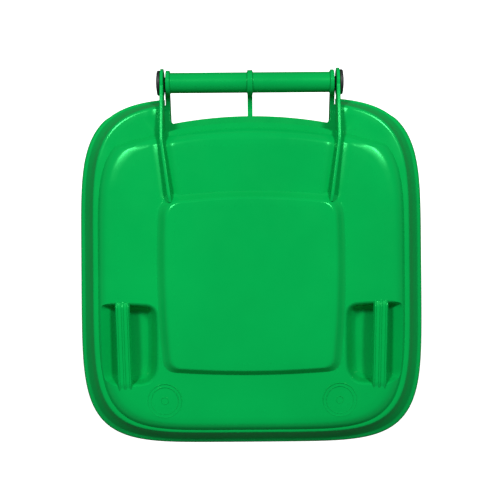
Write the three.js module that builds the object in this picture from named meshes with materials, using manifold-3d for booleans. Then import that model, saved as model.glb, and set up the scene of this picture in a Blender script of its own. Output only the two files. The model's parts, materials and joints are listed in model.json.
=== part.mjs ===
// A two-wheeled refuse bin of about 120 litres: tapered moulded body, hinged lid, axle and two wheels.
// Millimetres, +Z up, -Y to the front, +Y to the handle.
// The origin is on the floor, under the middle of the bin.
import * as THREE from "three";
import { ParametricGeometry } from "three/addons/geometries/ParametricGeometry.js";
import { mergeVertices } from "three/addons/utils/BufferGeometryUtils.js";
import Module from "manifold-3d";

const wasm = await Module();
wasm.setup();

// Driving dimensions.
const WIDTH = 502;
const DEPTH = 547;
const RIM_TOP = 888;
const WALL = 3.5;
const LID_WALL = 3;
const CENTRE_Y = -6.5; // the widest line of the lid and body outlines
const GAP = 0.4; // clearance between a piece and its neighbour

const HINGE = { y: DEPTH / 2 - 20.5, z: 905, eyeRadius: 20.5, boreRadius: 8.5, pinRadius: 8.1 };
const HANDLE = { halfLength: 122, radius: 14.8, ringRadius: 18, ringWidth: 5.4, bore: 10.3, neck: 33 };
const ARM = {
  inner: 124.8,
  thickness: 5.2,
  bendY: 168,
  frontY: 83,
  frontInner: 112.9,
  top: 938,
  frontTop: 944,
};
const AXLE = { y: 165, z: 100, radius: 10, halfLength: 204, grooveRadius: 7.4, grooveWidth: 9 };
const WHEEL = { x: 179.8, radius: 100, width: 46, rimRadius: 75.7, wellRadius: 113, wellX: 149 };
const LOCK = {
  x: 16,
  tip: 8,
  bore: 5.2,
  collar: 4.9,
  stem: 2.2,
  shank: 3.6,
  towerRadius: 8.5,
  towerTop: 44,
};

const RING_SEGMENTS = 36;
const WHEEL_SEGMENTS = 28;
const ROUND_SEGMENTS = 20;

// ---- Solids and shapes ----

// A closed three.js geometry as a manifold-3d solid with its faces pointing out.
function solid(geometry) {
  const bare = geometry.clone();
  bare.deleteAttribute("normal");
  bare.deleteAttribute("uv");
  const merged = mergeVertices(bare, 1e-3);
  const corners = merged.index.array;
  const triangles = [];
  for (let i = 0; i < corners.length; i += 3) {
    const [a, b, c] = corners.slice(i, i + 3);
    if (a !== b && b !== c && c !== a) triangles.push(a, b, c);
  }
  const build = () =>
    new wasm.Manifold(
      new wasm.Mesh({
        numProp: 3,
        vertProperties: merged.attributes.position.array,
        triVerts: new Uint32Array(triangles),
      }),
    );
  const made = build();
  if (made.volume() > 0) return made;
  triangles.reverse();
  return build();
}

// A manifold-3d solid as a three.js geometry.
function geometryOf(made) {
  const mesh = made.getMesh();
  const geometry = new THREE.BufferGeometry();
  geometry.setAttribute("position", new THREE.BufferAttribute(mesh.vertProperties, 3));
  geometry.setIndex(new THREE.BufferAttribute(mesh.triVerts, 1));
  geometry.computeVertexNormals();
  return geometry;
}

// A level ring of the body or lid: a superellipse whose front and back halves have their own depth.
// The front corners are a little squarer than the back ones.
const FRONT_SQUARER = 0.3;
const BACK_ROUNDER = 0.2;
const ring = (z, halfWidth, front, back, power = 5) => ({ z, halfWidth, front, back, power });

// A closed solid whose skin runs through the rings, from a point below the first to a point above the last.
function loft(rings, topRise = 0) {
  const stacks = rings.length + 1;
  const last = rings[rings.length - 1];
  const poles = [rings[0].z, last.z + topRise];
  const skin = (u, v, target) => {
    const row = Math.round(v * stacks);
    if (row === 0 || row === stacks) return target.set(0, CENTRE_Y, poles[row === 0 ? 0 : 1]);
    const { z, halfWidth, front, back, power } = rings[row - 1];
    const turn = (2 * Math.PI * (Math.round(u * RING_SEGMENTS) % RING_SEGMENTS)) / RING_SEGMENTS;
    const inFront = Math.sin(turn) < 0;
    const squareness = power + (inFront ? FRONT_SQUARER : -BACK_ROUNDER);
    const squash = (value) => Math.sign(value) * Math.abs(value) ** (2 / squareness);
    const reach = inFront ? CENTRE_Y - front : back - CENTRE_Y;
    return target.set(halfWidth * squash(Math.cos(turn)), CENTRE_Y + reach * squash(Math.sin(turn)), z);
  };
  return solid(new ParametricGeometry(skin, RING_SEGMENTS, stacks));
}

const inset = (rings, by, down = 0) =>
  rings.map((r) => ring(r.z - down, r.halfWidth - by, r.front + by, r.back - by, r.power));

function box(x0, x1, y0, y1, z0, z1) {
  const geometry = new THREE.BoxGeometry(x1 - x0, y1 - y0, z1 - z0);
  return solid(geometry.translate((x0 + x1) / 2, (y0 + y1) / 2, (z0 + z1) / 2));
}

// A plan outline made into a solid between two heights.
function prism(shape, z0, z1, curveSegments = 8) {
  const geometry = new THREE.ExtrudeGeometry(shape, { depth: z1 - z0, bevelEnabled: false, curveSegments });
  return solid(geometry.translate(0, 0, z0));
}

// A side outline, drawn in Y and Z, made into a plate between two X positions.
const SIDE_ON = new THREE.Matrix4().makeBasis(
  new THREE.Vector3(0, 1, 0),
  new THREE.Vector3(0, 0, 1),
  new THREE.Vector3(1, 0, 0),
);
function plate(shape, x0, x1, curveSegments = 8) {
  const depth = Math.abs(x1 - x0);
  const geometry = new THREE.ExtrudeGeometry(shape, { depth, bevelEnabled: false, curveSegments });
  return solid(geometry.applyMatrix4(SIDE_ON).translate(Math.min(x0, x1), 0, 0));
}

const polygon = (points) => new THREE.Shape(points.map(([x, y]) => new THREE.Vector2(x, y)));

// A turned piece on the X axis, from [radius, x] points.
// They start and end on the axis, or close on themselves.
function turned(points, segments = ROUND_SEGMENTS) {
  const profile = points.map(([radius, x]) => new THREE.Vector2(radius, x));
  return new THREE.LatheGeometry(profile, segments).rotateZ(-Math.PI / 2);
}

const rod = (radius, x0, x1, y, z, segments = ROUND_SEGMENTS) =>
  solid(
    turned([[0, x0], [radius, x0], [radius, x1], [0, x1]], segments).translate(0, y, z),
  );

const both = (make) => make(1).add(make(-1));
const joined = (solids) => solids.reduce((all, next) => all.add(next));
const span = (side, a, b) => [Math.min(side * a, side * b), Math.max(side * a, side * b)];

// ---- Lid ----

// The middle of the lid's back edge bows towards the handle, and the rim behind it runs parallel to it.
const bow = (middle, x) => middle - (x * x) / 1240;

function behindBow(middle, halfWidth, z0, z1) {
  const steps = 8;
  const edge = Array.from({ length: steps + 1 }, (_, i) => {
    const x = halfWidth * (1 - (2 * i) / steps);
    return [x, bow(middle, x)];
  });
  return prism(polygon([[-halfWidth, 320], [halfWidth, 320], ...edge].reverse()), z0, z1);
}

const LID_FRONT = -DEPTH / 2;
const LID_BACK = 231.5;
const TERRACE_TOP = 919.5; // the level step round the foot of the crown, widest behind it
const skirtRings = [
  ring(873, WIDTH / 2, LID_FRONT, LID_BACK),
  ring(885, WIDTH / 2 - 0.3, LID_FRONT + 0.3, LID_BACK - 0.2),
  ring(890, 246.5, -269, 229),
  ring(891.5, 243, -266.5, 228),
  ring(902.5, 235.3, -259.4, 225),
  ring(TERRACE_TOP - 1.5, 228, -253, 221),
  ring(TERRACE_TOP, 226, -251, 219),
];
const crownRings = [
  ring(905, 221, -249.5, 194),
  ring(TERRACE_TOP, 221, -249.5, 194),
  ring(925, 216.5, -245.5, 187),
  ring(929.5, 209, -239, 179),
  ring(931.3, 196, -226, 165),
];
const CROWN_RISE = 3.5;

// The raised panel in the middle of the lid: soft side walls, a square front.
function panel(grow, top) {
  const halfBack = 121 + grow;
  const halfFront = 113 + grow;
  const back = 83 + grow;
  const front = -158.5 - grow;
  const corner = 18;
  const outline = new THREE.Shape();
  outline.moveTo(-halfBack, back - corner);
  outline.quadraticCurveTo(-halfBack - 4, (back + front) / 2, -halfFront, front + corner);
  outline.quadraticCurveTo(-halfFront, front, -halfFront + corner, front - 1);
  outline.quadraticCurveTo(0, front - 7, halfFront - corner, front - 1);
  outline.quadraticCurveTo(halfFront, front, halfFront, front + corner);
  outline.quadraticCurveTo(halfBack + 4, (back + front) / 2, halfBack, back - corner);
  outline.quadraticCurveTo(halfBack, back, halfBack - corner, back + 1);
  outline.quadraticCurveTo(0, back + 7, -halfBack + corner, back + 1);
  outline.quadraticCurveTo(-halfBack, back, -halfBack, back - corner);
  const bevel = { bevelEnabled: true, bevelThickness: 8, bevelSize: 6, bevelOffset: -1, bevelSegments: 1 };
  const geometry = new THREE.ExtrudeGeometry(outline, { depth: 14, curveSegments: 3, ...bevel });
  return solid(geometry.translate(0, 0, top - 22)).intersect(box(-200, 200, -250, 250, 915, 960));
}

// Between the arms the lid ends in a bowed edge, with a foot below it that stands a little further back.
const BACK_EDGE = 192;
const BACK_FOOT = { back: 195.5, top: 901.5 };
const PANEL_TOP = 944;

// The lid's outside, or its inside when it is shrunk by the wall.
function lidBlock(by) {
  const base = loft(inset(skirtRings, by, by)).add(loft(inset(crownRings, by, by), CROWN_RISE));
  const reach = ARM.inner + by;
  return base
    .subtract(behindBow(BACK_FOOT.back - by, reach, 800, 1000))
    .subtract(behindBow(BACK_EDGE - by, reach, BACK_FOOT.top - by, 1000))
    .add(panel(-by, PANEL_TOP - by));
}

// Where the lid's skirt stops short behind, so that it clears the body's rim as it opens.
const SKIRT_RELIEF = polygon([[150, 860], [300, 860], [300, 889], [206, 889]]);

function lidArm(side) {
  const { inner, thickness, bendY, frontY, frontInner, top, frontTop } = ARM;
  const { y, z, eyeRadius } = HINGE;
  const rear = new THREE.Shape();
  rear.moveTo(bendY - 4, 902);
  rear.lineTo(222, 899);
  rear.absarc(y, z, eyeRadius, THREE.MathUtils.degToRad(-170), THREE.MathUtils.degToRad(105), false);
  rear.quadraticCurveTo(y - 40, z + 26, bendY - 4, top);
  const front = new THREE.Shape();
  front.moveTo(bendY, 902);
  front.lineTo(bendY, top);
  front.lineTo(frontY, frontTop);
  front.lineTo(frontY - 6, frontTop - 3);
  front.lineTo(frontY - 6, 925);
  front.lineTo(frontY + 20, 915);
  const rearPlate = plate(rear, ...span(side, inner, inner + thickness), 9);
  const lean = (inner - frontInner) / (bendY - frontY);
  const geometry = new THREE.ExtrudeGeometry(front, { depth: thickness, bevelEnabled: false });
  geometry.applyMatrix4(SIDE_ON).translate(inner, 0, 0);
  const points = geometry.attributes.position;
  for (let i = 0; i < points.count; i++) {
    points.setX(i, side * (points.getX(i) - lean * (bendY - points.getY(i))));
  }
  return rearPlate.add(solid(geometry));
}

const eyeBore = (side) =>
  rod(HINGE.boreRadius, ...span(side, ARM.inner - 3, ARM.inner + 12), HINGE.y, HINGE.z, 20);

// A hand grip near a front corner: a pocket with a ribbed bar bridging it.
const POCKET = { x0: 141, x1: 216, y0: -187, y1: -70, floor: 903, corner: 18 };
function pocket(side, grow, floor, top) {
  const { x0, x1, y0, y1, corner } = POCKET;
  const [a, b, c, d] = [x0 - grow, x1 + grow, y0 - grow, y1 + grow];
  const outline = new THREE.Shape();
  outline.moveTo(b, c + corner / 2);
  outline.lineTo(b, d - corner / 2);
  outline.quadraticCurveTo(b, d, b - corner / 2, d);
  outline.lineTo(a + corner, d);
  outline.quadraticCurveTo(a, d, a, d - corner);
  outline.lineTo(a, c + corner);
  outline.quadraticCurveTo(a, c, a + corner, c);
  outline.lineTo(b - corner / 2, c);
  outline.quadraticCurveTo(b, c, b, c + corner / 2);
  const bevel = { bevelEnabled: true, bevelThickness: 6, bevelSize: 4, bevelOffset: -4, bevelSegments: 1 };
  const depth = top - floor - 12;
  const geometry = new THREE.ExtrudeGeometry(outline, { depth, curveSegments: 3, ...bevel });
  return solid(geometry.translate(0, 0, floor + 6).scale(side, 1, 1));
}

// Three ridges with grooves between them run along the bar's top.
const GRIP = {
  x: 183,
  back: -64,
  length: 130,
  halfWidth: 10,
  ridge: 8.4,
  top: 932.5,
  groove: 929.5,
  low: 916.5,
};
const GRIP_LEAN = 0.03; // the bar's back end stands further out than its front end
function gripBar(side) {
  const { halfWidth, ridge, top, groove, low } = GRIP;
  const section = new THREE.Shape();
  section.moveTo(-halfWidth, low + 2.5);
  for (const middle of [-ridge, 0, ridge]) {
    section.lineTo(middle - 2, top - 1.5);
    section.lineTo(middle, top);
    section.lineTo(middle + 2, top - 1.5);
    if (middle < ridge) section.lineTo(middle + ridge / 2, groove);
  }
  section.lineTo(halfWidth, low + 2.5);
  section.lineTo(halfWidth / 2, low);
  section.lineTo(-halfWidth / 2, low);
  const geometry = new THREE.ExtrudeGeometry(section, { depth: GRIP.length, bevelEnabled: false });
  geometry.rotateX(Math.PI / 2).translate(GRIP.x, GRIP.back, 0);
  const middleY = GRIP.back - GRIP.length / 2;
  const points = geometry.attributes.position;
  for (let i = 0; i < points.count; i++) {
    points.setX(i, side * (points.getX(i) + (points.getY(i) - middleY) * GRIP_LEAN));
  }
  return solid(geometry);
}

// The rib under the lid that centres it inside the body's mouth. It stops short of the hand pockets.
const CENTRING = { halfWidth: 212, front: -235, back: 181, thickness: 3, low: 878 };
function centringRib() {
  const { halfWidth, front, back, thickness } = CENTRING;
  const block = (low, by) => {
    const plan = [halfWidth - by, front + by, back - by];
    const whole = loft([ring(low, ...plan), ring(940 + by, ...plan)]);
    return whole.subtract(behindBow(back - by, 300, 860, 1000));
  };
  const underLid = lidBlock(1).add(box(-240, 240, -240, back + thickness, CENTRING.low - 4, 915));
  const besidePockets = both((side) => box(...span(side, 140, 300), -200, -60, 870, 960));
  const wall = block(CENTRING.low, 0).subtract(block(CENTRING.low - 4, thickness));
  return wall.intersect(underLid).subtract(besidePockets);
}

function lid() {
  const shell = lidBlock(0).subtract(lidBlock(LID_WALL));
  const housings = both((side) => pocket(side, LID_WALL, POCKET.floor - LID_WALL, 936)).intersect(
    loft([ring(880, 219, -246, 200), ring(925, 219, -247, 200)]),
  );
  const opened = shell.add(housings).subtract(both((side) => pocket(side, 0, POCKET.floor, 960)));
  const betweenArms = ARM.inner + 6;
  const aboveRim = box(-betweenArms, betweenArms, 170, 300, 860, RIM_TOP + 2);
  return opened
    .add(centringRib())
    .add(both(gripBar))
    .subtract(plate(SKIRT_RELIEF, -WIDTH, WIDTH))
    .subtract(aboveRim)
    .add(both(lidArm))
    .subtract(both(eyeBore));
}

// A hinge pin: domed head outside the lid's eye, shank through the eye, split barbs inside the handle tube.
function hingePin(side) {
  const shank = HINGE.pinRadius;
  const neckEnd = HANDLE.halfLength - HANDLE.neck;
  const seat = ARM.inner + ARM.thickness + GAP;
  const profile = [
    [0, neckEnd - 18],
    [6.2, neckEnd - 18],
    [9.6, neckEnd - 6],
    [9.6, neckEnd - 3],
    [shank, neckEnd - 3],
    [shank, seat],
    [18.2, seat],
    [18.2, seat + 3.4],
    [15, seat + 4.9],
    [0, seat + 5.6],
  ];
  const pin = solid(turned(profile, 20).scale(side, 1, 1).translate(0, HINGE.y, HINGE.z));
  const slotEnd = neckEnd + 14;
  return pin.subtract(
    box(...span(side, neckEnd - 30, slotEnd), HINGE.y - 1.5, HINGE.y + 1.5, HINGE.z - 20, HINGE.z + 20),
  );
}

// ---- Body ----

const FLOOR_Z = 14;
const SKID = { halfWidth: 120, front: -165, back: -143 };
const BODY_TOP = 887;
function bodyRing(z, by) {
  const share = (z - FLOOR_Z) / (BODY_TOP - FLOOR_Z);
  const mix = (low, high) => low + (high - low) * share;
  return ring(z, mix(184, 221) - by, mix(-186, -245) + by, mix(172, 197) - by, 6.5);
}
const RIM = { halfWidth: 243.5, front: -265.5, back: 221, bottom: 846, thickness: 4 };
const rimRing = (z, by) => ring(z, RIM.halfWidth - by, RIM.front + by, RIM.back - by);

const mixedRings = (by, lowest, highest) => [
  bodyRing(lowest, by + 16),
  bodyRing(lowest + 3, by + 8),
  bodyRing(lowest + 9, by + 3),
  bodyRing(lowest + 20, by),
  bodyRing(300, by),
  bodyRing(600, by),
  bodyRing(highest, by),
];

// What the body leaves free for the wheels and the axle, grown by the wall for the inside of the body.
function wheelRoom(grow) {
  const wells = both((side) =>
    rod(WHEEL.wellRadius + grow, ...span(side, WHEEL.wellX - grow, 300), AXLE.y, AXLE.z, 28),
  );
  const channel = polygon([
    [139 - grow, -20],
    [139 - grow, 130 + grow],
    [185, 176 + grow * 1.4],
    [320, 176 + grow * 1.4],
    [320, -20],
  ]);
  const under = both((side) => box(...span(side, WHEEL.wellX - grow, 300), 120, 320, -20, AXLE.z));
  return wells.add(under).add(plate(channel, -300, 300));
}

// Plates across the axle channel that carry the axle.
const AXLE_RIBS = [-146, -72, 72, 146];
const AXLE_RIB_THICKNESS = 5.5;
function axleRib(x, thickness) {
  const outline = polygon([
    [133, 45],
    [137, 152],
    [178, 174],
    [190, 120],
    [188, 80],
    [172, 62],
  ]);
  return plate(outline, x - thickness / 2, x + thickness / 2);
}

const RIM_CHAMFER = 5;
const rimBlock = () =>
  loft([rimRing(RIM.bottom, 0), rimRing(RIM_TOP - RIM_CHAMFER, 0), rimRing(RIM_TOP, RIM_CHAMFER)]);

// The back of the mouth bows like the lid's edge above it, so a narrow ledge closes the corners.
const MOUTH_BACK = 190.5;

// Between the handle's webs the rim stops short in a bowed band, which leaves the hand space open.
const REAR_BAND = { front: 198, back: 206.5, halfWidth: 119 };

function rim() {
  const block = rimBlock();
  const hollow = loft([rimRing(RIM.bottom - 10, RIM.thickness), rimRing(RIM_TOP - 4, RIM.thickness)]);
  const ring = block.subtract(hollow);
  const { front, back, halfWidth } = REAR_BAND;
  const underBand = RIM_TOP - RIM.thickness;
  const hollowBand = behindBow(front - 8, halfWidth + 11, 800, underBand).subtract(
    behindBow(back - RIM.thickness, halfWidth + 11, 800, underBand),
  );
  const rearBand = behindBow(front, halfWidth, RIM.bottom + 16, RIM_TOP)
    .subtract(behindBow(back, halfWidth + 11, 800, 1000))
    .subtract(hollowBand);
  return ring.subtract(behindBow(back, halfWidth, 800, 1000)).add(rearBand);
}

// Upright ribs that join the rim's outer skirt to the wall, closest together along the front lifting comb.
const RIB = { halfThickness: 1.5, frontPitch: 32, sidePitch: 64 };
function rimRibs() {
  const { halfThickness, frontPitch, sidePitch } = RIB;
  const height = [RIM.bottom + 4, RIM_TOP - 2];
  const ribs = [];
  for (let x = -5.5 * frontPitch; x < 190; x += frontPitch) {
    ribs.push(box(x - halfThickness, x + halfThickness, -262.5, -238, ...height));
  }
  for (let y = -170; y <= 150; y += sidePitch) {
    const along = [y - halfThickness, y + halfThickness];
    ribs.push(both((side) => box(...span(side, 216, 241), ...along, ...height)));
  }
  return joined(ribs).intersect(rimBlock());
}

function handle() {
  const { halfLength, radius, ringRadius, ringWidth, bore, neck } = HANDLE;
  const half = ringWidth / 2 + 1.2;
  const outside = [
    [HINGE.boreRadius, -halfLength],
    [ringRadius, -halfLength],
    [ringRadius, -halfLength + ringWidth],
    [radius, -halfLength + ringWidth + 1.5],
    [radius, -half - 1.5],
    [ringRadius, -half],
  ];
  const inside = [
    [HINGE.boreRadius, halfLength - neck],
    [bore, halfLength - neck - 2],
  ];
  const mirrored = (points) => points.map(([r, x]) => [r, -x]).reverse();
  const profile = [...outside, ...mirrored(outside), ...inside, ...mirrored(inside)];
  profile.push(profile[0]);
  return solid(turned(profile, 20).translate(0, HINGE.y, HINGE.z));
}

// Two outer webs stand right inside the lid's arms, and a thinner one in the middle.
const WEB = { inner: 117.6, outer: 124.2, middleHalf: 3.7 };

// A web that carries the handle.
// It leaves the rim, dips under the hand space and meets the tube from below.
function handleWeb(x0, x1, low) {
  const outline = new THREE.Shape();
  outline.moveTo(186, low);
  outline.lineTo(186, RIM_TOP - 1);
  outline.lineTo(206, RIM_TOP - 1);
  outline.quadraticCurveTo(222, RIM_TOP - 10, HINGE.y - 12, HINGE.z - 6);
  outline.lineTo(HINGE.y, HINGE.z - 11);
  outline.lineTo(HINGE.y + 9, HINGE.z - 9);
  outline.quadraticCurveTo(HINGE.y - 4, HINGE.z - 28, 186, low);
  return plate(outline, x0, x1, 5);
}

function body() {
  const outside = loft(mixedRings(0, FLOOR_Z, BODY_TOP)).subtract(wheelRoom(0));
  const insideRings = [...mixedRings(WALL, FLOOR_Z + WALL, BODY_TOP), bodyRing(BODY_TOP + 20, WALL)];
  const ledge = behindBow(MOUTH_BACK, 300, BODY_TOP - WALL, 1000);
  const inside = loft(insideRings).subtract(wheelRoom(WALL)).subtract(ledge);
  const outerWebs = both((side) => handleWeb(...span(side, WEB.inner, WEB.outer), 850));
  const webs = outerWebs.add(handleWeb(-WEB.middleHalf, WEB.middleHalf, 854));
  const supports = AXLE_RIBS.map((x) => axleRib(x, AXLE_RIB_THICKNESS));
  const skid = box(-SKID.halfWidth, SKID.halfWidth, SKID.front, SKID.back, 0, FLOOR_Z + 4);
  const moulded = joined([outside, rim(), rimRibs(), handle(), ...supports, skid, transponderNest(), webs]);
  const boreClear = both((side) =>
    rod(HINGE.boreRadius, ...span(side, HANDLE.halfLength - HANDLE.neck - 4, 150), HINGE.y, HINGE.z, 20),
  );
  return moulded
    .subtract(inside)
    .subtract(boreClear)
    .subtract(rod(AXLE.radius + GAP, -160, 160, AXLE.y, AXLE.z))
    .subtract(transponderSpace());
}

// ---- Transponder nest and plug under the front rim ----

const NEST = { x: 0, y: -252.1, outer: 10.5, inner: 7, cap: 8, bottom: 852 };
function upright(radius, z0, z1, segments = 16) {
  const geometry = new THREE.CylinderGeometry(radius, radius, z1 - z0, segments).rotateX(Math.PI / 2);
  return solid(geometry.translate(NEST.x, NEST.y, (z0 + z1) / 2));
}
const transponderNest = () => upright(NEST.outer, NEST.bottom, RIM_TOP - 2);
const transponderSpace = () => upright(NEST.inner, NEST.bottom - 5, RIM_TOP - 6);

function transponderPlug() {
  const cap = upright(NEST.cap, NEST.bottom - 2.5 - GAP, NEST.bottom - GAP);
  return cap.add(upright(NEST.inner - GAP, NEST.bottom - 1, RIM_TOP - 9));
}

// ---- Axle and wheels ----

function axle() {
  const { radius, halfLength, grooveRadius, grooveWidth } = AXLE;
  const groove = WHEEL.x + LOCK.x;
  const half = [
    [radius, groove - grooveWidth / 2],
    [grooveRadius, groove - grooveWidth / 2 + 0.6],
    [grooveRadius, groove + grooveWidth / 2 - 0.6],
    [radius, groove + grooveWidth / 2],
    [radius, halfLength - 1.5],
    [radius - 1.5, halfLength],
    [0, halfLength],
  ];
  const mirrored = half.map(([r, x]) => [r, -x]).reverse();
  return turned([...mirrored, ...half], 20);
}

// Wheel pieces are drawn about the wheel's own centre, with +X outwards and the lock pin along +Z.
function tyre() {
  const { radius, width, rimRadius } = WHEEL;
  const inner = rimRadius + GAP;
  const half = width / 2;
  return turned(
    [
      [inner, -half + 4],
      [radius - 8, -half],
      [radius - 2, -half + 3],
      [radius, -half + 11],
      [radius, half - 11],
      [radius - 2, half - 3],
      [radius - 8, half],
      [inner, half - 4],
      [inner, -half + 4],
    ],
    WHEEL_SEGMENTS,
  );
}

const HUB = { radius: 23, inner: -26, outer: 26, bushBore: 13.4, endBore: 10.6, bushEnd: 8 };
function wheelRim() {
  const { rimRadius } = WHEEL;
  const disc = solid(
    turned(
      [
        [HUB.bushBore, HUB.inner],
        [HUB.radius, HUB.inner],
        [HUB.radius, -2],
        [rimRadius - 6, -2],
        [rimRadius - 5, -17.5],
        [rimRadius, -17.5],
        [rimRadius, 17.5],
        [rimRadius - 5, 17.5],
        [rimRadius - 6, 3],
        [HUB.radius, 3],
        [HUB.radius, HUB.outer],
        [HUB.endBore, HUB.outer],
        [HUB.endBore, HUB.bushEnd],
        [HUB.bushBore, HUB.bushEnd],
        [HUB.bushBore, HUB.inner],
      ],
      WHEEL_SEGMENTS,
    ),
  );
  const spokes = Array.from({ length: 6 }, (_, i) => {
    const web = new THREE.BoxGeometry(30, rimRadius - HUB.radius - 5, 4);
    web.translate(0, (HUB.radius + rimRadius - 6) / 2, 0);
    return solid(web.rotateX(i * (Math.PI / 3)));
  });
  const tower = besideHub(LOCK.towerRadius, 14, LOCK.towerTop);
  const springBore = besideHub(LOCK.bore, PIN.collarLow - GAP, LOCK.towerTop + 5);
  const pinBore = besideHub(LOCK.shank + GAP, 5, 20).add(springBore);
  return joined([disc, ...spokes, tower])
    .subtract(pinBore)
    .subtract(rod(HUB.endBore, HUB.bushEnd, HUB.outer + 5, 0, 0))
    .subtract(rod(HUB.bushBore, HUB.inner - 5, HUB.bushEnd, 0, 0));
}

// A round bar along +Z at the lock pin's place in the hub.
function besideHub(radius, z0, z1, segments = 16) {
  const geometry = new THREE.CylinderGeometry(radius, radius, z1 - z0, segments).rotateX(Math.PI / 2);
  return solid(geometry.translate(LOCK.x, 0, (z0 + z1) / 2));
}

function bush() {
  const inner = AXLE.radius + GAP;
  const outer = HUB.bushBore - GAP;
  return turned(
    [
      [inner, HUB.inner - 2],
      [18, HUB.inner - 2],
      [18, HUB.inner - GAP],
      [outer, HUB.inner - GAP],
      [outer, HUB.bushEnd - GAP],
      [inner, HUB.bushEnd - GAP],
      [inner, HUB.inner - 2],
    ],
    20,
  );
}

function hubCap() {
  return turned([
    [0, HUB.outer + 4.5],
    [18, HUB.outer + 3.6],
    [22.4, HUB.outer + 1.8],
    [22.4, HUB.outer + GAP],
    [0, HUB.outer + GAP],
  ].reverse(), 20);
}

const PIN = { collarLow: 15, collarHigh: 18.5, stemTop: 27, plugLow: 33.5, plugHigh: 46 };
function lockPin() {
  return besideHub(LOCK.shank, LOCK.tip, PIN.collarLow + 1)
    .add(besideHub(LOCK.collar, PIN.collarLow, PIN.collarHigh))
    .add(besideHub(LOCK.stem, PIN.collarHigh - 1, PIN.stemTop, 12));
}

function lockPlug() {
  return besideHub(LOCK.bore - GAP, PIN.plugLow, LOCK.towerTop + 1).add(
    besideHub(LOCK.towerRadius - 1, LOCK.towerTop + GAP, PIN.plugHigh),
  );
}

class Helix extends THREE.Curve {
  constructor(radius, low, high, turns) {
    super();
    Object.assign(this, { radius, low, high, turns });
  }
  getPoint(t, target = new THREE.Vector3()) {
    const angle = 2 * Math.PI * this.turns * t;
    const { radius, low, high } = this;
    return target.set(radius * Math.cos(angle), radius * Math.sin(angle), low + (high - low) * t);
  }
}

function lockSpring() {
  const wire = 0.55;
  const section = new THREE.Shape().absarc(0, 0, wire, 0, 2 * Math.PI, false);
  const turns = 4;
  const path = new Helix(3.6, PIN.collarHigh + wire + 0.3, PIN.plugLow - wire - 0.3, turns);
  const sweep = { steps: turns * 8, curveSegments: 2, extrudePath: path };
  const geometry = new THREE.ExtrudeGeometry(section, sweep);
  return geometryOf(solid(geometry.translate(LOCK.x, 0, 0)));
}

const washer = () =>
  turned([[AXLE.radius + GAP, -1], [19, -1], [19, 1], [AXLE.radius + GAP, 1], [AXLE.radius + GAP, -1]], 20);

// ---- Assembly ----

const finish = (name, color, roughness, metalness = 0) =>
  new THREE.MeshStandardMaterial({ name, color, roughness, metalness });
const MATERIALS = {
  lid: finish("lid_green", 0x00b04f, 0.38),
  body: finish("body_green", 0x00a54a, 0.42),
  black: finish("black_plastic", 0x16181a, 0.5),
  tyre: finish("tyre_rubber", 0x1d1d1e, 0.85),
  nylon: finish("nylon", 0xd9d6cb, 0.5),
  steel: finish("galvanised_steel", 0xb9bcc0, 0.38, 0.9),
};

const named = (name, geometry, material) => {
  const mesh = new THREE.Mesh(geometry, material);
  mesh.name = name;
  return mesh;
};

function wheel(label, side) {
  const group = new THREE.Group();
  group.position.set(side * WHEEL.x, AXLE.y, AXLE.z);
  group.rotation.z = side > 0 ? 0 : Math.PI;
  group.add(
    named(`${label}_tyre`, tyre(), MATERIALS.tyre),
    named(`${label}_wheel_rim`, geometryOf(wheelRim()), MATERIALS.black),
    named(`${label}_wheel_bush`, bush(), MATERIALS.nylon),
    named(`${label}_hub_cap`, hubCap(), MATERIALS.black),
    named(`${label}_lock_pin`, geometryOf(lockPin()), MATERIALS.steel),
    named(`${label}_lock_spring`, lockSpring(), MATERIALS.steel),
    named(`${label}_lock_plug`, geometryOf(lockPlug()), MATERIALS.black),
  );
  return group;
}

const bin = new THREE.Group();
bin.add(
  named("bin_body", geometryOf(body()), MATERIALS.body),
  named("lid", geometryOf(lid()), MATERIALS.lid),
  named("left_hinge_pin", geometryOf(hingePin(-1)), MATERIALS.black),
  named("right_hinge_pin", geometryOf(hingePin(1)), MATERIALS.black),
  named("transponder_plug", geometryOf(transponderPlug()), MATERIALS.black),
);

const axleMesh = named("axle", axle(), MATERIALS.steel);
axleMesh.position.set(0, AXLE.y, AXLE.z);
bin.add(axleMesh, wheel("left", -1), wheel("right", 1));

for (const [label, side] of [["left", -1], ["right", 1]]) {
  const mesh = named(`${label}_axle_washer`, washer(), MATERIALS.steel);
  mesh.position.set(side * (WHEEL.wellX + 1), AXLE.y, AXLE.z);
  bin.add(mesh);
}

export default bin;
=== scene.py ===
"""A green two-wheeled refuse bin: the smooth moulded shapes and finishes that stand around the CAD frame.

Lengths here are millimetres in the frame's own axes: +Z up, -Y to the front, +Y to the handle.
They become metres only when a mesh is made.
"""

import json
import math

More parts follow.
